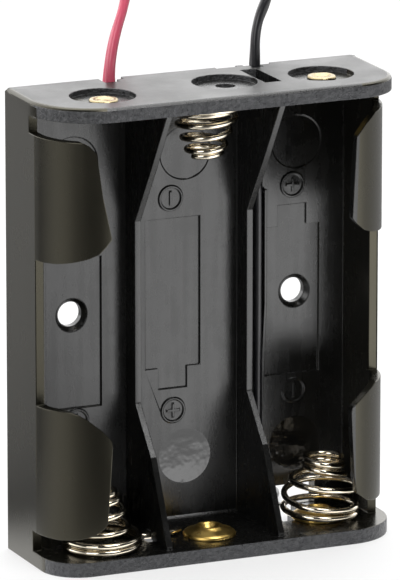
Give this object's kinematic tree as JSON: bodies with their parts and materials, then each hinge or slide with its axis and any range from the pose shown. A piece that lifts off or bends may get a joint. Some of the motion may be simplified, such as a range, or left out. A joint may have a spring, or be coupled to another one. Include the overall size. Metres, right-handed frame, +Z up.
{
  "type": "battery holder",
  "caption": "Open moulded holder for AA cells lying side by side, with coil springs, brass eyelet contacts, snap-in side clips, screw holes in the floor and two wire leads.",
  "frame": {"origin": "centre of the holder's underside, below the middle of its width and depth, as it stands on its lower end plate", "axes": "+Z up along the cells, +X across the row of cells, open face to -Y, mounting face to +Y"},
  "size_m": [0.0474, 0.0348, 0.0746],
  "materials": {
    "holder_plastic": "satin moulded ABS, black",
    "spring_wire": "bright nickel plate",
    "eyelet_brass": "bright pressed brass",
    "tinned_copper": "tinned and soldered strands",
    "red_insulation": "smooth PVC",
    "black_insulation": "smooth PVC"
  },
  "bodies": {
    "holder": {"holder_body": "holder_plastic", "left_spring": "spring_wire", "middle_spring": "spring_wire", "right_spring": "spring_wire", "left_eyelet": "eyelet_brass", "middle_eyelet": "eyelet_brass", "right_eyelet": "eyelet_brass", "spring_eyelet": "eyelet_brass", "bottom_link": "spring_wire", "top_link": "spring_wire", "red_inner_lead": "red_insulation", "red_core": "tinned_copper", "black_inner_lead": "black_insulation", "black_core": "tinned_copper", "red_lead": "red_insulation", "red_lead_end": "tinned_copper", "black_lead": "black_insulation", "black_lead_end": "tinned_copper"},
    "left_spring_end": {"left_spring_tip": "spring_wire"},
    "middle_spring_end": {"middle_spring_tip": "spring_wire"},
    "right_spring_end": {"right_spring_tip": "spring_wire"}
  },
  "joints": [
    {"name": "left_spring_press", "type": "slide", "parent": "holder", "child": "left_spring_end", "axis": [0, 0, -1], "range_m": [0, 0.0043], "stiffness_N_per_m": 2500, "deforming": ["left_spring"]},
    {"name": "middle_spring_press", "type": "slide", "parent": "holder", "child": "middle_spring_end", "axis": [0, 0, 1], "range_m": [0, 0.0036], "stiffness_N_per_m": 2800, "deforming": ["middle_spring"]},
    {"name": "right_spring_press", "type": "slide", "parent": "holder", "child": "right_spring_end", "axis": [0, 0, -1], "range_m": [0, 0.0043], "stiffness_N_per_m": 2300, "deforming": ["right_spring"]}
  ]
}
